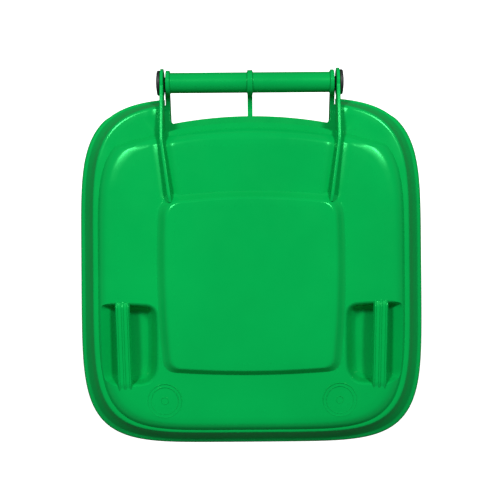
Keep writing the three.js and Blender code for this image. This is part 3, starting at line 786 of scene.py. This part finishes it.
def handle_web(middle, half, low_back, fillet=0.0, gusset=0.0):
    """A web that carries the tube and dips under the hand space.

    Where it leaves the rim it has a fillet towards the middle and a gusset outwards.
    """
    top_run = [(180, RIM_TOP - 1), (206, RIM_TOP - 1)]
    top_run += curve_run((206, RIM_TOP - 1), (222, RIM_TOP - 9), (HINGE_Y - 12, HINGE_Z - 6))[1:]
    top_run = np.array(top_run + [(HINGE_Y + 8, HINGE_Z - 6)])
    dip = (HINGE_Y - 4, HINGE_Z - 28)
    low_run = np.array(curve_run((WEB_START, low_back), dip, (HINGE_Y + 9, HINGE_Z - 9), 24))
    rings = []
    for y in np.linspace(WEB_START, HINGE_Y + 6, 110):
        top = np.interp(y, top_run[:, 0], top_run[:, 1])
        low = np.interp(y, low_run[:, 0], low_run[:, 1])
        near = half + fillet * np.clip((204 - y) / 9, 0, 1) ** 2
        far = half + gusset * (1 - smoothstep(GUSSET_BACK - 4, GUSSET_BACK, y))
        turn = np.linspace(0, math.pi / 2, 5)
        corner = np.c_[np.sin(turn), np.cos(turn)][::-1] - 1
        right = np.r_[[[far, low]], [far, top] + WEB_EDGE * corner]
        left = np.r_[[[-near, low]], [-near, top] + WEB_EDGE * corner * [-1, 1]]
        section = np.r_[right, left[::-1]]
        flip = math.copysign(1, middle)
        rings.append(np.c_[middle + flip * section[:, 0], np.full(len(section), y), section[:, 1]])
    return loft(rings, "web")


AXLE_RIB_HALF = 2.75
AXLE_RIB_PLACES = (-146, -72, 72, 146)


def axle_rib(x):
    """An upright rib that the axle runs through."""
    plan = [(133, 45), (137, 152), (178, 174), (186, 150), (190, 120), (189, 88), (183, 70), (172, 62)]
    return side_plate(plan, x - AXLE_RIB_HALF, x + AXLE_RIB_HALF)


def round_bar(x, y, radius, low, high):
    turn = np.linspace(0, 2 * math.pi, 48, endpoint=False)
    plan = np.c_[x + radius * np.cos(turn), y + radius * np.sin(turn)]
    return loft([level(plan, low), level(plan, high)])


NEST_Y = -252.1
NEST_BOTTOM = 852.0
NEST_RADIUS, NEST_BORE = 10.5, 7     # of the chip nest under the front rim
SKID_CORNERS = [(-120, -143), (-120, -165), (120, -165), (120, -143)]
MOUTH_BACK = 190.5        # the back of the mouth bows like the lid's edge above it


def body_inside():
    """What the body is hollowed by: its own shape less the wall, clear of the ledge and the wheel rooms."""
    wall = BODY_WALL
    rings = body_fill(wall, BODY_FLOOR + wall, np.linspace(60, BODY_TOP - 3, 20))
    for rise, by in ((0.2, wall - 0.6), (1.1, wall - 2.2), (20, wall - 2.2)):
        rings.append(ring_of(body_station(BODY_TOP + rise, by)))
    ledge = behind_bow(MOUTH_BACK, ASIDE, BODY_TOP - wall, ABOVE)
    return cut(loft(rings, "inside"), ledge, *wheel_room(wall))


def make_body():
    heights = np.linspace(60, BODY_TOP, 140)
    body = loft(with_front_panel(body_fill(0, BODY_FLOOR, heights)), "body")
    cut(body, *wheel_room(0))
    join(body, make_rim(), rim_ribs(), handle_tube())
    skid = bowed_outline(SKID_CORNERS, [0] * 4, [6] * 4)
    join(body, loft(stepped(skid, [(-1.5, 0), (0, 1.5), (0, BODY_FLOOR + 4)]), "skid"))
    for x in AXLE_RIB_PLACES:
        join(body, axle_rib(x))
    join(body, round_bar(0, NEST_Y, NEST_RADIUS, NEST_BOTTOM, RIM_TOP - 2))
    join(body, handle_web(0, WEB_MIDDLE_HALF_WIDTH, 854))
    join(body, *both(lambda side: handle_web(side * WEB_X, WEB_HALF_WIDTH, 850, WEB_FILLET, GUSSET)))
    cut(body, body_inside())
    hole, reach = AXLE_RADIUS + GAP, 160
    axle_hole = turned([(0, -reach), (hole, -reach), (hole, reach), (0, reach)], 48)
    placed(axle_hole, 0, AXLE_Y, AXLE_Z)
    nest_bore = round_bar(0, NEST_Y, NEST_BORE, NEST_BOTTOM - 18, RIM_TOP - 6)
    return cut(body, handle_bore(), axle_hole, nest_bore)


# ---- Axle, wheels and small parts ----

GROOVE_X = WHEEL_CENTRE[0] + 16
GROOVE_RADIUS = 7.4       # of the axle's groove for the lock pin
HUB_OUTER = 26.0
HUB_RADIUS = 23
RIM_RADIUS = 75.7
SPOKES = 6
BUSH_RADIUS = 13.0
BUSH_BORE = 10.4          # also the washer's


def make_axle():
    half = [(AXLE_RADIUS, GROOVE_X - 4.5), (GROOVE_RADIUS, GROOVE_X - 3.9),
            (GROOVE_RADIUS, GROOVE_X + 3.9), (AXLE_RADIUS, GROOVE_X + 4.5),
            (AXLE_RADIUS, 202.5), (AXLE_RADIUS - 1.5, 204), (0, 204)]
    profile = [(radius, -x) for radius, x in half][::-1] + half
    return placed(turned(profile, reach=0.3), 0, AXLE_Y, AXLE_Z)


def at_wheel(obj, side):
    return placed(obj, side * WHEEL_CENTRE[0], AXLE_Y, AXLE_Z, side)


def make_tyre(side):
    radius, inner = TYRE_RADIUS, RIM_RADIUS + GAP
    half = [(radius, 3.5), (radius - 2.2, 4.3), (radius - 2.2, 6.7), (radius, 7.5), (radius - 0.2, 12),
            (radius - 2.5, 19), (radius - 7, 22.4), (radius - 12, 23), (inner + 4, 21.5), (inner, 18.5)]
    profile = [(r, -x) for r, x in half][::-1] + half
    profile.append(profile[0])
    return at_wheel(turned(profile, 144, reach=0.8), side)


def upright_turned(profile, points=40):
    """A turned solid that stands on end, from [radius, height] stations."""
    obj = turned(profile, points)
    coordinates = np.array([vertex.co for vertex in obj.data.vertices])
    obj.data.vertices.foreach_set("co", coordinates[:, [1, 2, 0]].ravel())
    return obj


LOCK_X = 16.0


def at_lock(obj, side):
    return placed(obj, side * (WHEEL_CENTRE[0] + LOCK_X), AXLE_Y, AXLE_Z, side)


def spoke(angle):
    """A spoke, deeper at the hub than at the rim, with rounded edges."""
    rings = []
    turn = np.linspace(0, 2 * math.pi, 24, endpoint=False)
    for share in np.linspace(0, 1, 8):
        reach = 20 + share * (RIM_RADIUS - 24)
        depth, half = 19 - 5 * share, 2.4 - 0.4 * share
        x = depth * np.sign(np.cos(turn)) * np.abs(np.cos(turn)) ** 0.25
        across = half * np.sign(np.sin(turn)) * np.abs(np.sin(turn)) ** 0.6
        y = reach * math.cos(angle) - across * math.sin(angle)
        z = reach * math.sin(angle) + across * math.cos(angle)
        rings.append(np.c_[x, y, z])
    return loft(rings, "spoke")


def make_wheel_rim(side):
    """Hub, disc, spokes and flange, with the upright tower that guides the lock pin."""
    flange, hub = RIM_RADIUS, HUB_RADIUS
    profile = [(0, -HUB_OUTER), (hub, -HUB_OUTER), (hub, -2), (flange - 7, -2), (flange - 5, -17.5),
               (flange, -17.5), (flange, 17.5), (flange - 5, 17.5), (flange - 7, 3), (hub, 3),
               (hub, HUB_OUTER), (0, HUB_OUTER)]
    rim = turned(profile, 144, reach=1.1)
    join(rim, *[spoke(math.radians(360 / SPOKES * i)) for i in range(SPOKES)])
    tower = upright_turned([(0, 14), (8.5, 14), (8.5, 43.4), (7.9, 44), (0, 44)])
    join(rim, placed(tower, LOCK_X, 0, 0))
    seat = BUSH_RADIUS + GAP
    axle_bore = turned([(0, -30), (seat, -30), (seat, 8), (10.6, 8), (10.6, 30), (0, 30)], 72)
    lock_bore = upright_turned([(0, 5), (4, 5), (4, 14.6), (5.2, 14.6), (5.2, 50), (0, 50)])
    return at_wheel(cut(rim, axle_bore, placed(lock_bore, LOCK_X, 0, 0)), side)


def make_bush(side):
    profile = [(BUSH_BORE, -28), (18, -28), (18, -26.4), (BUSH_RADIUS, -26.4), (BUSH_RADIUS, 7.6),
               (BUSH_BORE, 7.6), (BUSH_BORE, -28)]
    return at_wheel(turned(profile, 72), side)


def make_hub_cap(side):
    profile = [(0, 26.4), (22.4, 26.4), (22.4, 27.8), (20.6, 29), (17.2, 29.5),
               (16.2, 29.1), (15.2, 29.7), (8, 30.4), (0, 30.5)]
    return at_wheel(turned(profile, 96, reach=0.4), side)


def make_hinge_pin(side):
    seat = ARM_INNER + ARM_THICKNESS + GAP
    neck = TUBE_HALF_LENGTH - 33
    profile = [(0, neck - 18), (6.2, neck - 18), (9.6, neck - 6), (9.6, neck - 3), (8.1, neck - 3),
               (8.1, seat), (18.2, seat), (18.2, seat + 3.0), (17.2, seat + 4.3), (10, seat + 5.3),
               (0, seat + 5.6)]
    pin = turned(profile, 96, reach=0.5)
    cut(pin, block(neck - 32, neck + 14, -1.5, 1.5, -20, 20))
    return placed(pin, 0, HINGE_Y, HINGE_Z, side)


def make_washer(side):
    profile = [(BUSH_BORE, -1), (18.6, -1), (19, -0.6), (19, 0.6),
               (18.6, 1), (BUSH_BORE, 1), (BUSH_BORE, -1)]
    return placed(turned(profile, 72), side * (WELL_X + 1), AXLE_Y, AXLE_Z, side)


def make_lock_pin(side):
    """The pin: a tip that drops in the axle's groove, a collar, and a stem inside the spring."""
    profile = [(0, 8), (2.8, 8), (3.6, 8.8), (3.6, 15), (4.9, 15),
               (4.9, 18.5), (2.2, 18.5), (2.2, 27), (0, 27)]
    return at_lock(upright_turned(profile), side)


def make_lock_plug(side):
    profile = [(0, 33.5), (4.4, 33.5), (4.8, 34), (4.8, 44.4),
               (7.5, 44.4), (7.5, 45.4), (6.8, 46), (0, 46)]
    return at_lock(upright_turned(profile), side)


SPRING_LOW, SPRING_HIGH = 18.9, 33.2


def make_lock_spring(side):
    """Four coils of wire between the pin's collar and the plug."""
    wire, radius, coils = 0.55, 3.6, 4
    turn = np.linspace(0, 2 * math.pi, 10, endpoint=False)
    rings = []
    for share in np.linspace(0, 1, coils * 28):
        angle = 2 * math.pi * coils * share
        height = SPRING_LOW + wire + (SPRING_HIGH - SPRING_LOW - 2 * wire) * share
        reach = radius + wire * np.cos(turn)
        rings.append(np.c_[reach * math.cos(angle), reach * math.sin(angle), height + wire * np.sin(turn)])
    return at_lock(loft(rings, "spring"), side)


def make_transponder_plug():
    cap = round_bar(0, NEST_Y, NEST_BORE + 1, NEST_BOTTOM - 2.5 - GAP, NEST_BOTTOM - GAP)
    return join(cap, round_bar(0, NEST_Y, NEST_BORE - GAP, NEST_BOTTOM - 1, RIM_TOP - 9))


# ---- Materials ----

def new_material(name, colour, roughness, metallic=0.0):
    """A node material, with what the finishes add to: its nodes, links, shader and object coordinates."""
    material = bpy.data.materials.new(name)
    material.use_nodes = True
    nodes, links = material.node_tree.nodes, material.node_tree.links
    shader = nodes["Principled BSDF"]
    shader.inputs["Base Color"].default_value = (*colour, 1)
    shader.inputs["Roughness"].default_value = roughness
    shader.inputs["Metallic"].default_value = metallic
    place = nodes.new("ShaderNodeTexCoord").outputs["Object"]
    return material, nodes, links, shader, place


def noise(nodes, links, place, scale, detail=3.0, stretch=None):
    texture = nodes.new("ShaderNodeTexNoise")
    texture.inputs["Scale"].default_value = scale
    texture.inputs["Detail"].default_value = detail
    if stretch:
        mapping = nodes.new("ShaderNodeMapping")
        mapping.inputs["Scale"].default_value = stretch
        links.new(place, mapping.inputs["Vector"])
        place = mapping.outputs["Vector"]
    links.new(place, texture.inputs["Vector"])
    return texture.outputs["Fac"]


def ramp(nodes, links, value, low, high, start=0.35, end=0.65):
    """Maps a noise value to between low and high."""
    mapper = nodes.new("ShaderNodeMapRange")
    mapper.inputs["From Min"].default_value = start
    mapper.inputs["From Max"].default_value = end
    mapper.inputs["To Min"].default_value = low
    mapper.inputs["To Max"].default_value = high
    links.new(value, mapper.inputs["Value"])
    return mapper.outputs["Result"]


def tint(nodes, links, shader, colour, shade):
    """Multiplies the base colour by a slowly varying shade."""
    mix = nodes.new("ShaderNodeMix")
    mix.data_type = "RGBA"
    mix.blend_type = "MULTIPLY"
    mix.inputs["Factor"].default_value = 1.0
    mix.inputs["A"].default_value = (*colour, 1)
    links.new(shade, mix.inputs["B"])
    links.new(mix.outputs["Result"], shader.inputs["Base Color"])


def bump(nodes, links, shader, heights, distance):
    """Stacks bumps of the given (height, strength) pairs on the shader."""
    normal = None
    for height, strength in heights:
        node = nodes.new("ShaderNodeBump")
        node.inputs["Strength"].default_value = strength
        node.inputs["Distance"].default_value = distance
        links.new(height, node.inputs["Height"])
        if normal:
            links.new(normal, node.inputs["Normal"])
        normal = node.outputs["Normal"]
    links.new(normal, shader.inputs["Normal"])


def moulded_plastic(name, colour, roughness, grain=0.05, sheen=(1.0, 1.0, 1.0)):
    """Injection-moulded polyethylene: faint flow marks, a fine grain and slightly uneven gloss."""
    material, nodes, links, shader, place = new_material(name, colour, roughness)
    shader.inputs["Specular Tint"].default_value = (*sheen, 1)
    flow = noise(nodes, links, place, 5, 4, (1, 1, 0.35))
    tint(nodes, links, shader, colour, ramp(nodes, links, flow, 0.93, 1.05))
    blotch = noise(nodes, links, place, 23, 5)
    links.new(ramp(nodes, links, blotch, roughness - 0.04, roughness + 0.05), shader.inputs["Roughness"])
    fine = noise(nodes, links, place, 1900, 2)
    waves = noise(nodes, links, place, 17, 2)
    bump(nodes, links, shader, [(waves, 0.12), (fine, grain)], 0.0006)
    return material


def rubber(name, colour):
    """Matt solid rubber with a dusty bloom."""
    material, nodes, links, shader, place = new_material(name, colour, 0.85)
    dust = noise(nodes, links, place, 40, 6)
    tint(nodes, links, shader, colour, ramp(nodes, links, dust, 0.8, 1.9))
    links.new(ramp(nodes, links, dust, 0.72, 0.95), shader.inputs["Roughness"])
    bump(nodes, links, shader, [(noise(nodes, links, place, 900, 3), 0.35)], 0.0004)
    return material


def zinc(name, colour):
    """Zinc-plated steel, drawn lengthwise, with a soft spangle."""
    material, nodes, links, shader, place = new_material(name, colour, 0.35, 1.0)
    spangle = nodes.new("ShaderNodeTexVoronoi")
    spangle.inputs["Scale"].default_value = 210
    links.new(place, spangle.inputs["Vector"])
    tint(nodes, links, shader, colour, ramp(nodes, links, spangle.outputs["Distance"], 0.8, 1.08, 0, 0.8))
    drawn = noise(nodes, links, place, 300, 3, (0.05, 1, 1))
    links.new(ramp(nodes, links, drawn, 0.27, 0.46), shader.inputs["Roughness"])
    bump(nodes, links, shader, [(drawn, 0.12)], 0.0003)
    return material


LID_GREEN = (0.0008, 0.365, 0.066)
BODY_GREEN = (0.0008, 0.335, 0.062)
GREEN_SHEEN = (0.10, 1.0, 0.30)
MATERIALS = {
    "lid_green": moulded_plastic("lid_green", LID_GREEN, 0.20, 0.03, GREEN_SHEEN),
    "body_green": moulded_plastic("body_green", BODY_GREEN, 0.27, 0.07, GREEN_SHEEN),
    "black_plastic": moulded_plastic("black_plastic", (0.012, 0.013, 0.014), 0.5, 0.12),
    "tyre_rubber": rubber("tyre_rubber", (0.015, 0.015, 0.016)),
    "nylon": moulded_plastic("nylon", (0.68, 0.66, 0.58), 0.48),
    "galvanised_steel": zinc("galvanised_steel", (0.52, 0.54, 0.56)),
}


# ---- Assembly ----

MERGE_DISTANCE = 1e-7         # metres: joins only true twins, as a wider merge tears thin triangles open
SHARP_ANGLE = math.radians(34)


def finished(obj, name, body, slot, *nodes):
    """Cleans a piece's mesh, shades it, and lets it ride on its body in place of the CAD nodes."""
    obj.name = name
    mesh = obj.data
    mesh.name = name
    work = bmesh.new()
    work.from_mesh(mesh)
    bmesh.ops.remove_doubles(work, verts=work.verts, dist=MERGE_DISTANCE)
    work.to_mesh(mesh)
    work.free()
    mesh.shade_smooth()
    mesh.set_sharp_from_angle(angle=SHARP_ANGLE)
    weighted = obj.modifiers.new("even_shading", "WEIGHTED_NORMAL")
    weighted.keep_sharp = True
    mesh.materials.clear()
    mesh.materials.append(MATERIALS[slot])
    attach(obj, body)
    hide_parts(*nodes)
    return obj


def make_wheel(label, side):
    wheel, lock = f"{label}_wheel", f"{label}_lock"
    pieces = [
        (make_tyre, "tyre", wheel, "tyre_rubber"),
        (make_wheel_rim, "wheel_rim", wheel, "black_plastic"),
        (make_bush, "wheel_bush", wheel, "nylon"),
        (make_hub_cap, "hub_cap", wheel, "black_plastic"),
        (make_lock_plug, "lock_plug", wheel, "black_plastic"),
        (make_lock_pin, "lock_pin", lock, "galvanised_steel"),
        (make_washer, "axle_washer", "container", "galvanised_steel"),
        (make_hinge_pin, "hinge_pin", "container", "black_plastic"),
    ]
    for make, part, body, slot in pieces:
        finished(make(side), f"{label}_{part}_fine", body, slot, f"{label}_{part}")
    spring = finished(make_lock_spring(side), f"{label}_lock_spring_fine", wheel, "galvanised_steel",
                      f"{label}_lock_spring")
    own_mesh(spring)


def make_bin():
    finished(make_lid(), "lid_fine", "lid", "lid_green", "lid")
    finished(make_body(), "bin_body_fine", "container", "body_green", "bin_body")
    finished(make_axle(), "axle_fine", "container", "galvanised_steel", "axle")
    plug = make_transponder_plug()
    finished(plug, "transponder_plug_fine", "container", "black_plastic", "transponder_plug")
    make_wheel("left", -1)
    make_wheel("right", 1)


# ---- Studio ----

FLOOR_GLOW = 0.72         # light of its own, for the camera only
FLOOR_BOUNCE = 0.28       # how pale the floor is to soft light
FLOOR_MIRROR = 0.06       # and in reflections


def floor_material():
    """A pale floor that glows for the camera, so that only a faint shadow shows on it."""
    material, nodes, links, shader, _ = new_material("floor", (0.93, 0.93, 0.93), 0.9)
    shader.inputs["Emission Color"].default_value = (1, 1, 1, 1)
    shader.inputs["Emission Strength"].default_value = FLOOR_GLOW
    path = nodes.new("ShaderNodeLightPath")
    plain = nodes.new("ShaderNodeBsdfDiffuse")
    pale = ramp(nodes, links, path.outputs["Is Diffuse Ray"], FLOOR_MIRROR, FLOOR_BOUNCE, 0, 1)
    links.new(pale, plain.inputs["Color"])
    mix = nodes.new("ShaderNodeMixShader")
    links.new(path.outputs["Is Camera Ray"], mix.inputs["Fac"])
    links.new(plain.outputs["BSDF"], mix.inputs[1])
    links.new(shader.outputs["BSDF"], mix.inputs[2])
    links.new(mix.outputs["Shader"], nodes["Material Output"].inputs["Surface"])
    return material


FLOOR_SIZE = 60.0             # metres from the middle to each edge
FLOOR_DROP = 0.00001          # just below the tyres and the skid


def make_floor():
    signs = ((-1, -1), (1, -1), (1, 1), (-1, 1))
    corners = [(x * FLOOR_SIZE, y * FLOOR_SIZE, -FLOOR_DROP) for x, y in signs]
    mesh = bpy.data.meshes.new("floor")
    mesh.from_pydata(corners, [], [(0, 1, 2, 3)])
    floor = bpy.data.objects.new("floor", mesh)
    scene.collection.objects.link(floor)
    mesh.materials.append(floor_material())


def softbox(name, place, aim, width, height, power):
    light = bpy.data.lights.new(name, "AREA")
    light.shape = "RECTANGLE"
    light.size = width
    light.size_y = height
    light.energy = power
    lamp = bpy.data.objects.new(name, light)
    scene.collection.objects.link(lamp)
    lamp.location = place
    lamp.rotation_euler = (Vector(aim) - Vector(place)).to_track_quat("-Z", "Y").to_euler()
    lamp.visible_camera = False


WORLD_STRENGTH = 0.22
BACKDROP = 1.0                # the pale wall the camera sees beyond the floor
LAMP_X, LAMP_Y, LAMP_Z = 1.23, 1.37, 3.52     # behind the handle, to both sides and high up
LAMP_WIDTH, LAMP_HEIGHT = 0.62, 0.5
LAMP_POWER = 60
LIP_HEIGHT = 0.9              # what the lamps and the camera are aimed at


def make_lights():
    world = bpy.data.worlds.new("studio")
    scene.world = world
    world.use_nodes = True
    nodes, links = world.node_tree.nodes, world.node_tree.links
    background = nodes["Background"]
    background.inputs["Color"].default_value = (1, 1, 1, 1)
    seen = nodes.new("ShaderNodeLightPath").outputs["Is Camera Ray"]
    strength = ramp(nodes, links, seen, WORLD_STRENGTH, BACKDROP, 0, 1)
    links.new(strength, background.inputs["Strength"])
    for side in (1, -1):
        place = (side * LAMP_X, LAMP_Y, LAMP_Z)
        softbox("rear_lamp", place, (0, 0, LIP_HEIGHT), LAMP_WIDTH, LAMP_HEIGHT, LAMP_POWER)


CAMERA_HEIGHT = 1.5          # metres above the lid's lip
PICTURE_WIDTH = 0.7294       # metres across the picture at the lip
PICTURE_X = -0.0017
PICTURE_Y = 0.0095
CAMERA_ROLL = math.radians(-0.45)
SENSOR = 36.0


def make_camera():
    camera = bpy.data.cameras.new("camera")
    camera.sensor_width = SENSOR
    camera.lens = SENSOR * CAMERA_HEIGHT / PICTURE_WIDTH
    eye = bpy.data.objects.new("camera", camera)
    scene.collection.objects.link(eye)
    eye.location = (PICTURE_X, PICTURE_Y, LIP_HEIGHT + CAMERA_HEIGHT)
    eye.rotation_euler = (0, 0, CAMERA_ROLL)
    scene.camera = eye


make_bin()
make_floor()
make_lights()
make_camera()
scene.view_settings.view_transform = "Standard"
